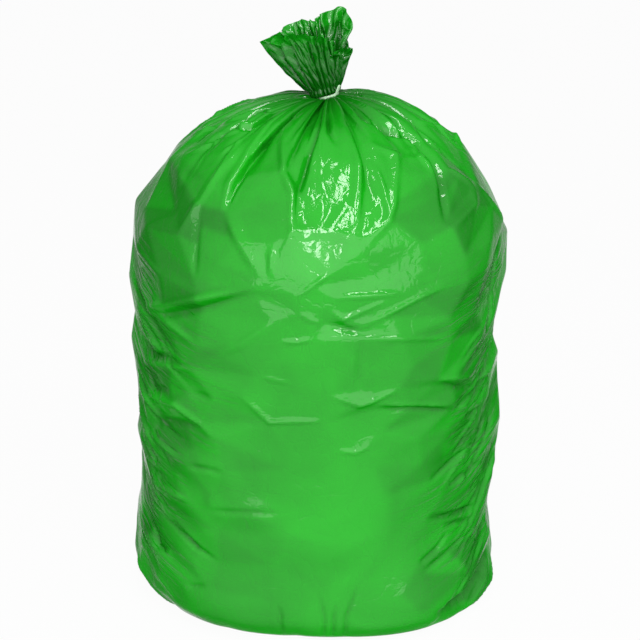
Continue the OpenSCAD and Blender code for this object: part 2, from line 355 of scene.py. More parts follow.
# It settles on every second point first, and then on all of them.
uneven_start = 0.002
coarse_steps, fine_steps = 240, 90
start = guide + normals_of(guide) * (patches(5, 5) * on_side)[..., None] * uneven_start
half = (slice(0, rows, 2), slice(0, film_columns, 2))
coarse = settle(start[half], guide[half], slack_up[half], slack_round[half], slant[half],
                coarse_steps)
film_grid = finer(coarse, guide.shape)
film_grid = settle(film_grid, guide, slack_up, slack_round, slant, fine_steps)
film_grid = film_grid.astype(float)

# The film has drawn itself in a little, so its broad form goes back out to the contents,
# and on the right of the shoulder a bit further.
dome_out, right_out = 0.003, 0.003
right_shoulder = np.exp(-((wrapped(angle) / 50) ** 2) - ((height - 0.49) / 0.07) ** 2)
broad = normals_of(soften(guide.copy(), 12))
drawn_in = np.einsum("...i,...i", guide - film_grid, broad)[..., None]
drawn_in = soften(drawn_in, 160)[..., 0] + dome_out * on_dome + right_out * right_shoulder
film_grid[:neck_row] += (broad * drawn_in[..., None])[:neck_row]
# On the foot the load presses it flat against the floor.
pressed_rows = 24
pressed = (flat_rows + edge_rows + pressed_rows - np.arange(rows)) / pressed_rows
pressed = np.clip(pressed, 0, 1)[:, None, None]
film_grid = film_grid * (1 - pressed) + guide * pressed


def between(grid, at):
    """A grid's rows at fractional places, on smooth curves through its own rows."""
    k = np.clip(at.astype(int), 0, len(grid) - 2)
    t = (at - k)[:, None, None]
    a, b, c, d = (grid[np.clip(k + step, 0, len(grid) - 1)] for step in (-1, 0, 1, 2))
    return b + 0.5 * t * (c - a + t * (2 * a - 5 * b + 4 * c - d + t * (3 * (b - c) + d - a)))


# Over the dome the folds run straight up, without a waver along them.
straight = film_grid.copy()
for _ in range(10):
    straight[1:-1] = (straight[:-2] + straight[2:]) * 0.25 + straight[1:-1] * 0.5
film_grid += (straight - film_grid) * on_dome[..., None]

# The settled film gets a finer grid, on which its sharp creases can be narrow.
film_fineness = 1.4
fine_columns = 2 * round(film_columns * film_fineness / 2)
row_at = np.linspace(0, rows - 1, round(rows * film_fineness))
film_grid = between(film_grid, row_at)
round_again = np.concatenate([film_grid[:, -2:], film_grid, film_grid[:, :3]], axis=1)
column_at = 2 + film_columns * np.arange(fine_columns) / fine_columns
film_grid = between(round_again.swapaxes(0, 1), column_at).swapaxes(0, 1)

# Each row's way up along the film from the middle of the foot, in metres.
funnel_length = 0.012
outline_way = np.concatenate([[0], np.cumsum(np.linalg.norm(np.diff(outline, axis=0), axis=1))])
outline_way = outline_way + outline[0][0]
funnel_way = outline_way[-1] + funnel_length * np.arange(1, funnel_rows + 2) / funnel_rows
way_up = np.concatenate([outline_way, funnel_way])
way_up = np.interp(row_at[row_at <= len(way_up) - 1], np.arange(len(way_up)), way_up)
neck_row = int(np.searchsorted(row_at, neck_row))
rows, film_columns = film_grid.shape[:2]
facing = wrapped(360 * np.arange(film_columns) / film_columns)

# The photograph is seen from a little above. Its view serves to lay the creases on the film.
lens, sensor, picture_width = 105.7, 36.0, 640
camera_aim = Vector((0.0024, 0.0, 0.3416))
camera_tilt = math.radians(18)
camera_distance = 2.3
camera_back = Vector((0, -math.cos(camera_tilt), math.sin(camera_tilt)))
camera_up = Vector((0, math.sin(camera_tilt), math.cos(camera_tilt)))
camera_place = camera_aim + camera_back * camera_distance
bag_middle_x, bag_middle_y = 318, 360
depth_to_width = 0.95


def on_film(x, y):
    """The place on the film, in degrees round and metres up, at a point of the picture. A
    point just outside the bag is moved inwards."""
    hit = None
    while hit is None:
        ray = camera_up * (picture_width / 2 - y) - camera_back * (picture_width * lens / sensor)
        ray.x = x - picture_width / 2
        hit = solid_tree.ray_cast(camera_place, ray.normalized())[0]
        inwards = Vector((bag_middle_x - x, bag_middle_y - y)).normalized()
        x, y = x + inwards.x, y + inwards.y
    ahead = hit.x - crown_moved(hit.z)
    out = math.hypot(ahead, hit.y / depth_to_width)
    nearest = np.argmin(np.hypot(outline[:, 0] - out, outline[:, 1] - hit.z))
    return math.degrees(math.atan2(hit.y, ahead)), outline_way[nearest]


# Ways up along the film: where lines run straight on towards the tie, where they count as
# reaching it, and the tie itself.
near_tie, at_tie, tie_way = 0.895, 0.905, 0.936


def into_tie(line):
    """A line on the film; where it nears the tie, it runs straight on into it."""
    clear = [k for k, (_, way) in enumerate(line) if way <= near_tie]
    if not clear:
        return line
    line = [(line[min(max(k, clear[0]), clear[-1])][0], way) for k, (_, way) in enumerate(line)]
    for end in (0, -1):
        if line[end][1] > at_tie:
            line[end] = (line[end][0], tie_way)
    return line


# Sharp creases, where the film was pulled tight or laid over itself. Each has its rise in
# mm, how wide it is on its left and on its right in mm, and its line, which was read off the
# photograph as points of a picture 640 wide.
creases = [
    (3, 7, 6, (314, 103), (273, 110), (236, 121), (202, 134), (172, 161)),
    (-3, 5, 5, (312, 105), (273, 114), (252, 119)),
    (2.5, 5, 6, (300, 110), (254, 126), (216, 136)),
    (3, 6, 9, (300, 111), (240, 132), (187, 158)),
    (-3.5, 5, 5, (300, 114), (256, 129), (224, 139)),
    (2.5, 5, 5, (223, 155), (245, 141)),
    (2, 10, 14, (247, 140), (234, 157), (214, 182), (198, 205), (180, 232)),
    (3.5, 9, 14, (302, 111), (278, 125), (262, 141), (231, 184), (227, 212)),
    (-6, 6, 6, (298, 117), (266, 147), (244, 181), (232, 203)),
    (3, 6, 7, (266, 144), (247, 178), (230, 212)),
    (2.5, 20, 12, (227, 212), (240, 237), (261, 276)),
    (-2, 10, 8, (200, 201), (196, 244), (194, 280)),
    (2.2, 8, 8, (137, 248), (159, 276)),
    (-5, 8, 8, (322, 106), (313, 120), (298, 145), (286, 168)),
    (-5.5, 9, 7, (327, 106), (321, 126), (307, 156), (298, 188), (294, 217)),
    (3, 16, 10, (290, 125), (285, 169), (294, 193), (293, 228), (278, 268)),
    (3, 6, 6, (273, 243), (271, 276)),
    (-6, 7, 7, (330, 106), (330, 130), (337, 143)),
    (3.2, 12, 14, (345, 122), (357, 161), (356, 237)),
    (3, 10, 12, (368, 143), (393, 156), (391, 204), (387, 219), (361, 247)),
    (2.5, 5, 7, (373, 164), (382, 188), (387, 219)),
    (-3, 12, 12, (343, 109), (354, 140), (364, 170), (374, 205)),
    (-6, 16, 7, (336, 105), (364, 120), (390, 133), (410, 141), (413, 150)),
    (3.2, 6, 8, (413, 149), (417, 158), (429, 173)),
    (-3.8, 7, 9, (411, 125), (430, 144), (461, 170)),
    (2.8, 6, 8, (414, 122), (452, 139), (457, 145)),
    (-3.2, 12, 9, (428, 160), (439, 190), (445, 223)),
    (3, 6, 6, (444, 169), (455, 177), (471, 188)),
    (2.2, 12, 12, (471, 188), (471, 204), (451, 225)),
    (2.5, 8, 10, (473, 186), (488, 204), (500, 221)),
    (2.6, 5, 5, (341, 102), (362, 100), (381, 100)),
    (-3.2, 5, 5, (341, 104), (362, 104), (378, 105)),
    (2.4, 5, 6, (340, 106), (372, 111), (402, 123)),
    (-3, 5, 6, (345, 99), (352, 94), (360, 92)),
    (-3, 12, 12, (404, 92), (432, 108), (456, 128)),
    (3.8, 8, 18, (143, 309), (165, 304), (200, 299), (251, 289)),
    (-2.5, 12, 12, (150, 318), (200, 309), (250, 297)),
    (3, 7, 10, (143, 309), (167, 321), (200, 345)),
    (2.6, 7, 8, (139, 317), (155, 342), (187, 362)),
    (-4.5, 10, 8, (141, 340), (154, 356), (171, 357)),
    (2.2, 6, 8, (150, 363), (174, 366), (195, 369)),
    (-3.4, 7, 8, (143, 364), (152, 386), (169, 392)),
    (3.4, 7, 10, (146, 393), (176, 404), (216, 435)),
    (-3, 8, 10, (155, 418), (185, 424), (205, 425)),
    (2.6, 6, 6, (146, 427), (162, 444), (179, 461)),
    (-3.2, 6, 6, (146, 437), (151, 455), (160, 479)),
    (-2.5, 6, 6, (147, 430), (160, 450), (172, 468)),
    (-2, 10, 8, (190, 393), (214, 398)),
    (3, 4, 5, (297, 298), (313, 284), (330, 273)),
    (2.4, 4, 5, (299, 314), (312, 320), (321, 324)),
    (3, 4, 6, (336, 299), (364, 295), (401, 292)),
    (3, 4, 5, (330, 310), (342, 319), (384, 301)),
    (-2.5, 9, 8, (322, 325), (345, 331), (361, 333)),
    (2.6, 5, 7, (357, 330), (380, 318), (420, 297), (444, 287)),
    (2.2, 6, 8, (360, 338), (400, 337), (450, 337)),
    (-2, 10, 14, (360, 334), (361, 392)),
    (2.4, 4, 5, (280, 342), (298, 344), (313, 338)),
    (2.2, 9, 12, (219, 353), (240, 344), (274, 324)),
    (2.6, 4, 6, (243, 396), (270, 421), (326, 421)),
    (1.6, 5, 6, (258, 377), (294, 384)),
    (3, 4, 6, (329, 395), (345, 401), (360, 405), (370, 403), (401, 388)),
    (1.8, 4, 5, (335, 451), (355, 454), (370, 447)),
    (2.8, 6, 6, (378, 404), (412, 405), (452, 404)),
    (-2.6, 6, 9, (380, 410), (414, 410), (452, 409)),
    (-2.8, 6, 7, (438, 383), (455, 386), (472, 386)),
    (2.4, 6, 6, (436, 381), (455, 378), (472, 376)),
    (-2.2, 8, 8, (206, 512), (243, 513), (281, 513)),
    (-2.2, 8, 8, (186, 466), (205, 470), (224, 474)),
    (0.8, 12, 16, (343, 548), (352, 574), (336, 602)),
    (-3.6, 7, 8, (496, 334), (480, 384), (457, 407)),
    (2.6, 6, 6, (498, 350), (486, 378), (464, 404)),
    (-4, 6, 7, (494, 369), (484, 383), (476, 394)),
    (-4, 6, 7, (485, 403), (476, 413), (467, 417)),
    (-4.5, 6, 12, (500, 229), (496, 257), (492, 300), (488, 338)),
    (-3.4, 6, 7, (468, 448), (450, 466), (430, 481)),
    (-3.4, 6, 7, (481, 460), (464, 475), (447, 488)),
    (-4, 6, 6, (484, 478), (476, 494), (469, 503)),
    (-4.4, 7, 9, (475, 503), (447, 516), (426, 518)),
    (-3.4, 6, 7, (474, 517), (458, 522), (444, 526)),
    (-3.6, 6, 6, (486, 518), (478, 535)),
    (-3.4, 6, 7, (448, 532), (437, 549), (417, 563)),
    (-3, 6, 7, (470, 528), (447, 552), (420, 570)),
    (-9, 34, 11, (486, 546), (475, 570), (457, 593), (441, 602), (430, 612)),
    (-3.4, 6, 7, (148, 460), (160, 474)),
    (3, 6, 6, (157, 482), (170, 491), (184, 500)),
    (-4, 7, 7, (152, 504), (195, 546), (219, 563)),
    (-3.4, 6, 6, (164, 514), (182, 532), (200, 551)),
    (3, 6, 7, (143, 520), (150, 535), (159, 548)),
    (-4, 8, 9, (153, 525), (159, 545), (168, 550)),
    (-2.4, 6, 6, (188, 584), (208, 585)),
]
# Gathers that come round the foot from the seal under it: degrees at the top and at the
# bottom, and mm up along the film from the middle of the foot.
foot_gathers = [(-103, -102, 262), (-90, -88, 278), (-77, -81, 285), (-84, -85, 262)]
gather_rise, gather_side = -3, 5
foot_edge_way, foot_end_way = 0.243, 0.19

# The film's grid rounds a crease off, so it is made higher and narrower than it was read:
# parts of a metre for each of its mm.
rise_parts, width_parts = 800, 1400
on_front = [
    (rise, left, right, into_tie([on_film(*point) for point in line]))
    for rise, left, right, *line in creases
]
on_front += [
    (gather_rise, gather_side, gather_side,
     [(top, way / 1000), (bottom, foot_edge_way), (bottom, foot_end_way)])
    for top, bottom, way in foot_gathers
]
# The back has creases of the same kinds as the front, at other places.
tied_above = 0.9
back_draw = np.random.RandomState(31)
folds = []
for rise, left, right, line in on_front:
    folds.append((rise / rise_parts, left / width_parts, right / width_parts, line))
    turned, moved = back_draw.uniform(-12, 12), back_draw.uniform(-0.025, 0.025)
    if line[0][1] > tied_above:
        moved = 0
    line = [(wrapped(turned - turn), way + moved) for turn, way in line]
    rise = rise / rise_parts * back_draw.uniform(0.6, 1.1)
    folds.append((rise, right / width_parts, left / width_parts, line))

# Short gathers run down from the tie all round, and fans of folds fall away from both
# flanks.
gather_every, gather_width = 11, 0.0040
fan_every, fan_step, fold_every = 0.048, 0.011, 2
fine_draw = np.random.RandomState(44)
for turn in np.arange(-180, 180, gather_every):
    turn = turn + fine_draw.uniform(-4, 4)
    way = fine_draw.uniform(0.72, 0.87)
    bend = fine_draw.uniform(-7, 7)
    rise = fine_draw.choice([-0.0032, 0.0026]) * fine_draw.uniform(0.5, 1.1)
    line = [(turn, tie_way), (turn + bend * 0.3, (way + tie_way) / 2), (turn + bend, way)]
    folds.append((rise, gather_width, gather_width, line))
for flank_at, inward in ((180, 1), (180, -1), (0, 1), (0, -1)):
    for way in np.arange(0.27, 0.64, fan_every):
        way = way + fine_draw.uniform(-0.012, 0.012)
        first, reach = fine_draw.uniform(5, 12), fine_draw.uniform(14, 30)
        drop = fine_draw.uniform(0.0014, 0.0030) * reach
        for k in range(fine_draw.randint(3, 6)):
            begin = first + fine_draw.uniform(-3, 3) + fold_every * k
            top = way - fan_step * k
            line = [(flank_at + inward * (begin + part * reach), top - part * drop)
                    for part in (0, 0.5, 1)]
            rise = fine_draw.choice([-0.0040, 0.0030]) * fine_draw.uniform(0.5, 1.1)
            folds.append((rise, 0.0035, 0.0050, line))


def spot(turn, way, grid):
    """A grid's point at a place given in degrees round and metres up."""
    row = np.interp(way, way_up, np.arange(len(way_up)))
    column = (turn % 360) / 360 * film_columns
    r, c = int(min(row, rows - 2)), int(column)
    part_row, part_column = row - r, column - c
    c, d = c % film_columns, (c + 1) % film_columns
    lower = grid[r, c] * (1 - part_column) + grid[r, d] * part_column
    upper = grid[r + 1, c] * (1 - part_column) + grid[r + 1, d] * part_column
    return lower * (1 - part_row) + upper * part_row


metres_per_degree = 0.0016
fall, fall_over = 0.09, 30


def laid_out(turn, way):
    """A place on the film laid out flat, in metres, close together along the folds, which
    fall away from both flanks and run level between them."""
    from_flank = np.abs((turn + 90) % 180 - 90)
    return turn * metres_per_degree, way + fall * (1 - np.exp(-from_flank / fall_over))


# Between its creases taut film lies in flat panels. Their corners are the creases' own
# points, and uneven points between those, some further out than others.
panels_low, panels_high = 0.19, 0.88
crease_end = 0.86
pinned_rise = 0.8
corner_out = 0.0012
corner_apart = 0.016
calm = soften(film_grid.copy(), 24)
calm_normals = normals_of(calm)
corner_draw = np.random.RandomState(12)
corners, edges = [], []
for rise, left, right, line in folds[:2 * len(on_front)]:
    turned = [line[0][0]]
    for turn, way in line[1:]:
        turned.append(turned[-1] + (turn - turned[-1] + 180) % 360 - 180)
    for k, (turn, (_, way)) in enumerate(zip(turned, line)):
        if way < crease_end and k and line[k - 1][1] < crease_end:
            edges.append((len(corners) - 1, len(corners)))
        if way < crease_end:
            corners.append((turn, way, pinned_rise * rise))
pinned = np.array([laid_out(turn, way) for turn, way, _ in corners])
for turn in np.arange(-180, 180, 15):
    for along in np.arange(0.20, 0.96, 0.038):
        at = turn + corner_draw.uniform(-6, 6)
        x, fallen = laid_out(at, 0.0)
        way = along + corner_draw.uniform(-0.013, 0.013) - fallen
        # Low down the film is full and even, and the flanks are the most uneven.
        loose = 0.0025 * min(1, max(0.1, (way - 0.38) / 0.12))
        loose = loose + 0.004 * abs(math.cos(math.radians(at)))
        out = corner_draw.uniform(-1, 1) * loose
        clear = np.hypot(*(pinned - (x, way + fallen)).T).min() > corner_apart
        if clear and panels_low < way < panels_high:
            corners.append((at, way, out))

# The corners are joined up into panels on the film laid out flat, with some of its left
# repeated on its right and the other way round, so that the panels close round the bag.
places, lifts, tight = [], [], []
for repeated in (-360, 0, 360):
    kept = {}
    for k, (turn, way, out) in enumerate(corners):
        if abs(turn + repeated) < 225:
            kept[k] = len(places)
            places.append(Vector(laid_out(turn + repeated, way)))
            lifts.append(np.array(spot(turn, way, calm))
                         + spot(turn, way, calm_normals) * (out + corner_out))
    tight += [(kept[a], kept[b]) for a, b in edges if a in kept and b in kept]
joined, _, panels, origin, _, _ = delaunay_2d_cdt(places, tight, [], 0, 1e-5)
place = np.array([tuple(v) for v in joined])
given = np.array([tuple(v) for v in places])
lifts = np.array(lifts)
# Where two creases cross, the corner comes from the nearest given ones.
corner = np.zeros((len(place), 3))
for k, whose in enumerate(origin):
    if whose:
        corner[k] = lifts[whose].mean(0)
    else:
        off = np.hypot(*(given - place[k]).T)
        near = np.argsort(off)[:3]
        weight = 1 / (off[near] + 1e-4)
        corner[k] = (lifts[near] * weight[:, None]).sum(0) / weight.sum()

# Each panel is laid flat, and gets its own painted shade: darker high up on both sides of the
# front and of the back, where the light falls off, and darker at random, most of all on the
# flanks, as panels turned from the light would be.
body_way = np.interp(np.arange(neck_row), np.arange(len(way_up)), way_up)
flat_x, flat_y = laid_out(facing[None, :], body_way[:, None])
flat_x = flat_x * np.ones_like(flat_y)
panelled = film_grid[:neck_row].copy()
layers_and_painted_shade = np.zeros((rows, film_columns))
chances = corner_draw.uniform(-0.3, 1.0, (30, 40)).clip(0, 1)
chance_round, chance_up = 12, 0.025
off_front, off_way = 62, 0.74
low_row, high_row = np.searchsorted(body_way, [0.20, 0.87])
for panel in panels:
    a, b, c = place[panel]
    pa, pb, pc = corner[panel]
    ux, uy, vx, vy = b[0] - a[0], b[1] - a[1], c[0] - a[0], c[1] - a[1]
    area = ux * vy - uy * vx
    if abs(area) < 1e-9:
        continue
    leftmost, rightmost = min(a[0], b[0], c[0]), max(a[0], b[0], c[0])
    columns = np.where((flat_x[0] >= leftmost) & (flat_x[0] <= rightmost))[0]
    if not len(columns):
        continue
    wx = flat_x[low_row:high_row, columns] - a[0]
    wy = flat_y[low_row:high_row, columns] - a[1]
    s, t = (wx * vy - wy * vx) / area, (wy * ux - wx * uy) / area
    inside = (s >= -1e-6) & (t >= -1e-6) & (s + t <= 1 + 1e-6)
    r, k = np.nonzero(inside)
    s, t = s[inside][:, None], t[inside][:, None]
    panelled[r + low_row, columns[k]] = pa * (1 - s - t) + pb * s + pc * t
    turn = (a[0] + b[0] + c[0]) / (3 * metres_per_degree)
    way = (a[1] + b[1] + c[1]) / 3
    off = abs(wrapped(turn)) - 90
    # Painted shade high up on both sides of the front and of the back, where the light falls off.
    painted_dome_side_shade = math.exp(-((abs(off) - off_front) / 26) ** 2 - ((way - off_way) / 0.10) ** 2)
    chance = chances[int(turn % 360 / chance_round), int(way / chance_up)]
    # Painted shade of random panels, strongest on the flanks, as if turned from the light.
    flank_painted_shade = 0.08 + 0.88 * abs(math.cos(math.radians(turn)))
    layers_and_painted_shade[r + low_row, columns[k]] = (
        0.92 * painted_dome_side_shade * (0.6 + 0.4 * chance) + chance * flank_painted_shade)
layers_and_painted_shade[:neck_row] *= np.clip((0.79 - body_way) / 0.05, 0, 1)[:, None]
layers_and_painted_shade = soften(layers_and_painted_shade, 3)
# The tail is darker, partly for its two layers or more of film and partly as painted shade; its rim,
# of one layer, is left out.
tail_layers_and_painted_shade, rim_rows = 0.6, 10
layers_and_painted_shade[neck_row:-rim_rows] = tail_layers_and_painted_shade

# Low down, between the flanks, the load fills the film out and it has few flat panels.
tautness = np.clip((body_way - 0.20) / 0.03, 0, 1) * np.clip((crease_end - body_way) / 0.09, 0, 1)
ahead_or_behind = np.clip((np.abs(np.sin(np.radians(facing))) - 0.5) / 0.3, 0, 1)
filled_out = np.clip((0.47 - body_way) / 0.05, 0, 1)[:, None] * ahead_or_behind
tautness = 0.85 * (tautness[:, None] * (1 - 0.8 * filled_out))[..., None]
film_grid[:neck_row] = film_grid[:neck_row] * (1 - tautness) + soften(panelled, 2) * tautness
# Over the dome the film is drawn tight between its folds.
drawn = 0.8 * np.clip((body_way - 0.80) / 0.04, 0, 1) * np.clip((0.915 - body_way) / 0.05, 0, 1)
eased = soften(film_grid.copy(), 10)
film_grid[:neck_row] += (eased - film_grid)[:neck_row] * drawn[:, None, None]
calm = soften(film_grid.copy(), 10)
calm_normals = normals_of(calm)

# A crease is narrower and lower close to the tie, and fades in and out along its line.
tie_spot = np.array(neck_axis)
tie_reach, tie_narrowest = 0.08, 0.12
fade_share = 0.25
crest_sharpness = 1.2
spine_step = 0.01


def crease(line, rise, left, right):
    """How far one crease lifts each point of the film off its rest."""
    spine = []
    for (turn, way), (next_turn, next_way) in zip(line, line[1:]):
        turned = wrapped(next_turn - turn)
        length = math.hypot(math.radians(turned) * 0.2, next_way - way)
        for t in np.linspace(0, 1, max(2, int(length / spine_step)), endpoint=False):
            spine.append(spot(turn + turned * t, way + (next_way - way) * t, calm))
    spine.append(spot(*line[-1], calm))
    spine = np.array(spine)
    share = np.linspace(0, 1, len(spine))
    squeeze = np.clip(np.linalg.norm(spine - tie_spot, axis=1) / tie_reach, tie_narrowest, 1)
    first, last = (0.0 if way > 0.92 else 1.0 for way in (line[0][1], line[-1][1]))
    fade_in = np.minimum(1, 1 - first + share / fade_share)
    fade = fade_in * np.minimum(1, 1 - last + (1 - share) / fade_share)
    widest = max(left, right)
    near = np.all((calm > spine.min(0) - widest) & (calm < spine.max(0) + widest), axis=2)
    near[neck_row:] = False
    point, normal = calm[near], calm_normals[near]
    best = np.zeros(len(point))
    for k in range(len(spine) - 1):
        a, run = spine[k], spine[k + 1] - spine[k]
        t = np.clip((point - a) @ run / (run @ run + 1e-12), 0, 1)
        off = point - (a + t[:, None] * run)
        across = np.einsum("ij,ij->i", np.cross(normal, run), off)
        squeezed = squeeze[k] + (squeeze[k + 1] - squeeze[k]) * t
        width = np.where(across > 0, left, right) * squeezed
        crest = np.clip(1 - np.linalg.norm(off, axis=1) / width, 0, 1) ** crest_sharpness
        best = np.maximum(best, crest * squeezed * (fade[k] + (fade[k + 1] - fade[k]) * t))
    lift = np.zeros(film_grid.shape[:2])
    lift[near] = best * rise
    return lift


lift = np.zeros((rows, film_columns))
for rise, left, right, line in folds:
    lift += crease(line, rise, left, right)
film_grid += calm_normals * lift[..., None]
# A point that stands out alone, where creases cross, goes back among its neighbours.
alone_from, alone_over = 0.0013, 0.0008
for _ in range(3):
    among = (np.roll(film_grid, 1, 1) + np.roll(film_grid, -1, 1)) / 4
    among[1:-1] += (film_grid[:-2] + film_grid[2:]) / 4
    alone = np.linalg.norm(among - film_grid, axis=2)
    alone = np.clip((alone - alone_from) / alone_over, 0, 1)[..., None]
    alone[:40] = alone[neck_row - 12:] = 0
    film_grid += (among - film_grid) * alone
film_grid[:neck_row, :, 2] = np.maximum(film_grid[:neck_row, :, 2], 0)

# The film's normals come from the whole tube, so that its two halves meet without a line.
next_round = np.roll(film_grid, -1, 1)
faces = np.cross(next_round[1:] - film_grid[:-1], film_grid[1:] - next_round[:-1])
faces = np.concatenate([faces[:1], faces, faces[-1:]])
film_normals = faces[:-1] + faces[1:]
film_normals += np.roll(film_normals, 1, 1)
film_normals /= np.linalg.norm(film_normals, axis=2)[..., None] + 1e-12

# Where both flanks carry fans of very fine folds, and each point's place along and across
# those folds, drawn out a dozen times along them. The two flanks lie well apart in it.
flank_width, drawn_out, flanks_apart = 0.0035, 12, 0.1
fan_way = np.concatenate([body_way, np.full(rows - neck_row, body_way[-1])])[:, None]
off_flank = np.abs((facing + 90) % 180 - 90)[None, :]
bundles = np.random.RandomState(52).uniform(0.0, 1.0, (16, 24))
bundle_row = np.clip((fan_way - 0.20) / 0.04 + off_flank / 25, 0, 15).astype(int)
bundle_column = (facing[None, :] % 360 / 15).astype(int) * np.ones_like(bundle_row)
fan_share = np.clip(bundles[bundle_row, bundle_column] * 2.4 - 0.6, 0, 1)
fan_share = soften(fan_share * np.exp(-(((off_flank - 26) / 25) ** 2)), 4)
fan_share *= np.clip((fan_way - 0.24) / 0.06, 0, 1) * np.clip((0.68 - fan_way) / 0.08, 0, 1)
fan_place = np.zeros((rows, film_columns, 3))
fan_place[..., 0] = off_flank * flank_width / drawn_out
fan_place[..., 1] = laid_out(facing[None, :], fan_way)[1]
fan_place[..., 2] = np.where(np.cos(np.radians(facing)) > 0, flanks_apart, 0.0)

# A sunk crease gets painted shade as well: its green is made deeper along the valley.
full_painted_shade_depth = 0.009
layers_and_painted_crease_shade = np.clip(layers_and_painted_shade - lift / full_painted_shade_depth, 0, 1)


def half_film(name, columns):
    """One half of the tube, from side to side, with its half of the foot."""
    points = film_grid[:, columns]
    index = np.arange(points.shape[0] * points.shape[1]).reshape(points.shape[:2])
    quads = np.stack([index[:-1, :-1], index[:-1, 1:], index[1:, 1:], index[1:, :-1]], -1)
    faces = quads.reshape(-1, 4).tolist() + [index[0][::-1].tolist()]
    mesh = bpy.data.meshes.new(name)
    mesh.from_pydata(points.reshape(-1, 3).tolist(), [], faces)
    mesh.polygons.foreach_set("use_smooth", [True] * len(mesh.polygons))
    mesh.normals_split_custom_set_from_vertices(film_normals[:, columns].reshape(-1, 3).tolist())
    # The painted shade, and the tail's darkening for its layers, go to the material as an attribute.
    for label, kind, key, values in (
            ("layers_and_shade_painted", "FLOAT", "value", layers_and_painted_crease_shade),
            ("fans", "FLOAT", "value", fan_share),
            ("along_fans", "FLOAT_VECTOR", "vector", fan_place)):
        attribute = mesh.attributes.new(label, kind, "POINT")
        attribute.data.foreach_set(key, values[:, columns].ravel())
    half = bpy.data.objects.new(name, mesh)
    bpy.context.scene.collection.objects.link(half)
    return half


every = np.arange(film_columns + 1) % film_columns
halves = [half_film("film_back", every[:film_columns // 2 + 1]),
          half_film("film_front", every[film_columns // 2:])]


class Finish:
    """A material made of nodes, and the few kinds of node that the bag and its tie need."""

    def __init__(self, name):
        self.material = bpy.data.materials.new(name)
        self.material.use_nodes = True
        self.nodes = self.material.node_tree.nodes
        self.links = self.material.node_tree.links
        self.shader = self.nodes["Principled BSDF"]
        self.point = self.nodes.new("ShaderNodeTexCoord").outputs["Object"]

    def onto(self, value, socket):
        self.links.new(value, self.shader.inputs[socket])

    def noise(self, scale, detail, kind="FBM", warp=0.0, stretch=(1, 1, 1)):
        shaped = self.nodes.new("ShaderNodeMapping")
        shaped.inputs["Scale"].default_value = stretch
        self.links.new(self.point, shaped.inputs["Vector"])
        node = self.nodes.new("ShaderNodeTexNoise")
        node.noise_type = kind
        node.inputs["Scale"].default_value = scale
        node.inputs["Detail"].default_value = detail
        node.inputs["Distortion"].default_value = warp
        self.links.new(shaped.outputs["Vector"], node.inputs["Vector"])
        return node.outputs["Fac"]

    def bumped(self, height, depth, under=None):
        node = self.nodes.new("ShaderNodeBump")
        node.inputs["Strength"].default_value = 1.0
        node.inputs["Distance"].default_value = depth
        self.links.new(height, node.inputs["Height"])
        if under is not None:
            self.links.new(under, node.inputs["Normal"])
        return node.outputs["Normal"]

    def ranged(self, value, low, high, to_low, to_high, kind="SMOOTHSTEP"):
        node = self.nodes.new("ShaderNodeMapRange")
        node.interpolation_type = kind
        node.inputs["From Min"].default_value = low
        node.inputs["From Max"].default_value = high
        node.inputs["To Min"].default_value = to_low
        node.inputs["To Max"].default_value = to_high
        self.links.new(value, node.inputs["Value"])
        return node.outputs["Result"]

    def times(self, first, second):
        node = self.nodes.new("ShaderNodeMath")
        node.operation = "MULTIPLY"
        self.links.new(first, node.inputs[0])
        self.links.new(second, node.inputs[1])
        return node.outputs[0]

    def toned(self, value, low, low_colour, high, high_colour):
        node = self.nodes.new("ShaderNodeValToRGB")
        first, last = node.color_ramp.elements
        first.position = low
        first.color = (*low_colour, 1)
        last.position = high
        last.color = (*high_colour, 1)
        self.links.new(value, node.inputs["Fac"])
        return node.outputs["Color"]

    def stored(self, label, output):
        node = self.nodes.new("ShaderNodeAttribute")
        node.attribute_name = label
        return node.outputs[output]


# The finish: even green pigment, gloss that varies a little, and the fine crinkles of
# thin film, which are sharp where it was folded and soft where it is stretched.
film = Finish("green_film")
film.shader.inputs["IOR"].default_value = 1.48
green = film.toned(film.noise(9, 5, warp=0.5), 0.30, (0.007, 0.34, 0.008), 0.70, (0.010, 0.44, 0.011))

# The green is darkened. Near the tie and higher in the tail this is partly for the film's layers
# lying on one another there and partly painted shade among the pleats; over the panels, along
# sunk creases and in the fine fan folds it is painted shade.
from_tie = film.nodes.new("ShaderNodeVectorMath")
from_tie.operation = "DISTANCE"
from_tie.inputs[1].default_value = neck_axis
film.links.new(film.point, from_tie.inputs[0])
apart = film.nodes.new("ShaderNodeSeparateXYZ")
film.links.new(film.point, apart.inputs[0])
fan_folds_bump_and_shade = film.nodes.new("ShaderNodeTexNoise")
fan_folds_bump_and_shade.inputs["Scale"].default_value = 140
fan_folds_bump_and_shade.inputs["Detail"].default_value = 2
film.links.new(film.stored("along_fans", "Vector"), fan_folds_bump_and_shade.inputs["Vector"])
fan_folds_bump_and_shade = film.times(film.ranged(fan_folds_bump_and_shade.outputs["Fac"], 0.35, 0.68, 0.0, 1.0),
                        film.stored("fans", "Fac"))
layers_and_painted_shade_factor = film.times(film.ranged(from_tie.outputs["Value"], 0.012, 0.13, 0.38, 1.0),
                  film.ranged(apart.outputs["Z"], 0.612, 0.640, 1.0, 0.92))
layers_and_painted_shade_factor = film.times(layers_and_painted_shade_factor, film.ranged(film.stored("layers_and_shade_painted", "Fac"), 0.0, 1.0, 1.0, 0.62))
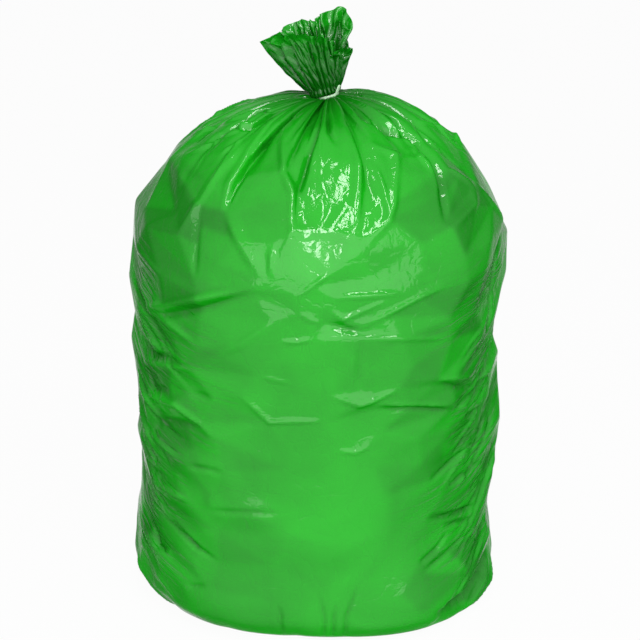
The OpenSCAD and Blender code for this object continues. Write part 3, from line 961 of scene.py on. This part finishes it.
# Painted shade in the valleys of the fine fan folds.
layers_and_painted_shade_factor = film.times(layers_and_painted_shade_factor, film.ranged(fan_folds_bump_and_shade, 0.0, 1.0, 1.0, 0.78))
green_with_painted_shade = film.nodes.new("ShaderNodeVectorMath")
green_with_painted_shade.operation = "SCALE"
film.links.new(green, green_with_painted_shade.inputs[0])
film.links.new(layers_and_painted_shade_factor, green_with_painted_shade.inputs["Scale"])
film.onto(green_with_painted_shade.outputs["Vector"], "Base Color")

# Smooth film mirrors the lamps where it faces the eye; towards its edge the crinkles
# scatter what it mirrors, so that little is left.
turned_away = film.nodes.new("ShaderNodeLayerWeight")
turned_away.inputs["Blend"].default_value = 0.5
film.onto(film.ranged(turned_away.outputs["Facing"], 0.08, 0.50, 0.5, 0.018), "Specular IOR Level")
film.onto(film.ranged(film.noise(35, 4), 0, 1, 0.04, 0.10, "LINEAR"), "Roughness")

# Flat facets of crinkled film, their edges bent a little.
crinkle = film.nodes.new("ShaderNodeTexVoronoi")
crinkle.feature = "DISTANCE_TO_EDGE"
crinkle.inputs["Scale"].default_value = 40
swirl = film.nodes.new("ShaderNodeTexNoise")
swirl.inputs["Scale"].default_value = 18
swirl.inputs["Detail"].default_value = 3
film.links.new(film.point, swirl.inputs["Vector"])
bend = film.nodes.new("ShaderNodeVectorMath")
bend.operation = "MULTIPLY_ADD"
bend.inputs[1].default_value = (0.08, 0.08, 0.04)
film.links.new(swirl.outputs["Color"], bend.inputs[0])
film.links.new(film.point, bend.inputs[2])
film.links.new(bend.outputs["Vector"], crinkle.inputs["Vector"])
facets = film.ranged(crinkle.outputs["Distance"], 0, 0.10, 0, 1, "LINEAR")
normal = film.bumped(film.noise(85, 6, "RIDGED_MULTIFRACTAL", 0.6, (1, 1, 0.55)), 0.00045)
normal = film.bumped(facets, 0.00016, normal)
normal = film.bumped(fan_folds_bump_and_shade, 0.0024, normal)
normal = film.bumped(film.noise(420, 3), 0.0001, normal)
film.onto(normal, "Normal")
for half in halves:
    half.data.materials.append(film.material)
    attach(half, "root")
    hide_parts("bag")


# Tie
# A strip of wire in a pale, slightly milky plastic coat. It is bent once round the neck
# and its two ends are twisted together. The solid's shape is right, so it only gets its
# finish here: a soft sheen and the fine ribs that the coat is drawn with.
coat = Finish("pale_coat")
coat.shader.inputs["Subsurface Weight"].default_value = 0.2
coat.shader.inputs["Subsurface Radius"].default_value = (0.001, 0.0015, 0.001)
milky = coat.toned(coat.noise(180, 4), 0.35, (0.55, 0.80, 0.53), 0.65, (0.68, 0.90, 0.66))
coat.onto(milky, "Base Color")
coat.onto(coat.ranged(coat.noise(300, 3), 0, 1, 0.3, 0.5, "LINEAR"), "Roughness")
coat.onto(coat.bumped(coat.noise(500, 3, stretch=(0.3, 0.3, 4)), 0.0001), "Normal")
for place_on_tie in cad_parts["neck_tie"].material_slots:
    place_on_tie.material = coat.material


# Stage, lamps and camera
# A pale floor without an edge and a soft surround. A tall narrow box above the front draws
# the bright streak down the dome, a very wide soft box in front lights the whole bag
# evenly, and a short strip at the upper right adds the glints on the creases.
def pale_where_seen(nodes, links, plain, share):
    """Mixes plain white in for rays from the camera, and for those off gloss or glass."""
    ray = nodes.new("ShaderNodeLightPath")
    seen = ray.outputs["Is Camera Ray"]
    for name in ("Is Glossy Ray", "Is Transmission Ray"):
        either = nodes.new("ShaderNodeMath")
        either.operation = "MAXIMUM"
        links.new(seen, either.inputs[0])
        links.new(ray.outputs[name], either.inputs[1])
        seen = either.outputs[0]
    part = nodes.new("ShaderNodeMath")
    part.operation = "MULTIPLY"
    part.inputs[1].default_value = share
    links.new(seen, part.inputs[0])
    mix = nodes.new("ShaderNodeMixShader")
    white = nodes.new("ShaderNodeEmission")
    links.new(part.outputs[0], mix.inputs["Fac"])
    links.new(plain, mix.inputs[1])
    links.new(white.outputs[0], mix.inputs[2])
    return mix.outputs[0]


# A little of the floor's own shade stays in what is seen of it, and with it the shadow.
floor_half = 20
floor_white_share = 0.96
floor_mesh = bpy.data.meshes.new("floor")
floor_corners = [(x * floor_half, y * floor_half, 0) for x, y in ((-1, -1), (1, -1), (1, 1), (-1, 1))]
floor_mesh.from_pydata(floor_corners, [], [(0, 1, 2, 3)])
floor = bpy.data.objects.new("floor", floor_mesh)
bpy.context.scene.collection.objects.link(floor)
floor_finish = bpy.data.materials.new("pale_floor")
floor_finish.use_nodes = True
nodes, links = floor_finish.node_tree.nodes, floor_finish.node_tree.links
nodes["Principled BSDF"].inputs["Base Color"].default_value = (0.8, 0.8, 0.8, 1)
nodes["Principled BSDF"].inputs["Roughness"].default_value = 0.8
floor_plain = nodes["Principled BSDF"].outputs[0]
floor_seen = pale_where_seen(nodes, links, floor_plain, floor_white_share)
links.new(floor_seen, nodes["Material Output"].inputs["Surface"])
floor_mesh.materials.append(floor_finish)

world = bpy.data.worlds.new("studio")
bpy.context.scene.world = world
world.use_nodes = True
nodes, links = world.node_tree.nodes, world.node_tree.links
nodes["Background"].inputs["Color"].default_value = (0.25, 0.25, 0.25, 1)
world_seen = pale_where_seen(nodes, links, nodes["Background"].outputs[0], 1.0)
links.new(world_seen, nodes["World Output"].inputs["Surface"])


def lamp(name, place, aim, width, height, power):
    data = bpy.data.lights.new(name, "AREA")
    data.shape = "RECTANGLE"
    data.size = width
    data.size_y = height
    data.energy = power
    made = bpy.data.objects.new(name, data)
    made.location = place
    made.rotation_euler = (Vector(aim) - Vector(place)).to_track_quat("-Z", "Y").to_euler()
    bpy.context.scene.collection.objects.link(made)


lamp("top_box", place=(0.0, -1.55, 2.16), aim=(0, 0, 0.5), width=0.24, height=2.5, power=28)
lamp("front_box", place=(0.4, -4.6, 1.6), aim=(0, 0, 0.35), width=9.0, height=3.4, power=132)
lamp("side_strip", place=(1.0, -1.75, 2.3), aim=(0, 0, 0.4), width=1.0, height=0.22, power=13)

camera_data = bpy.data.cameras.new("camera")
camera_data.sensor_width = sensor
camera_data.lens = lens
camera = bpy.data.objects.new("camera", camera_data)
camera.location = camera_place
camera.rotation_euler = (-camera_back).to_track_quat("-Z", "Y").to_euler()
bpy.context.scene.collection.objects.link(camera)
bpy.context.scene.camera = camera
bpy.context.scene.view_settings.view_transform = "Standard"
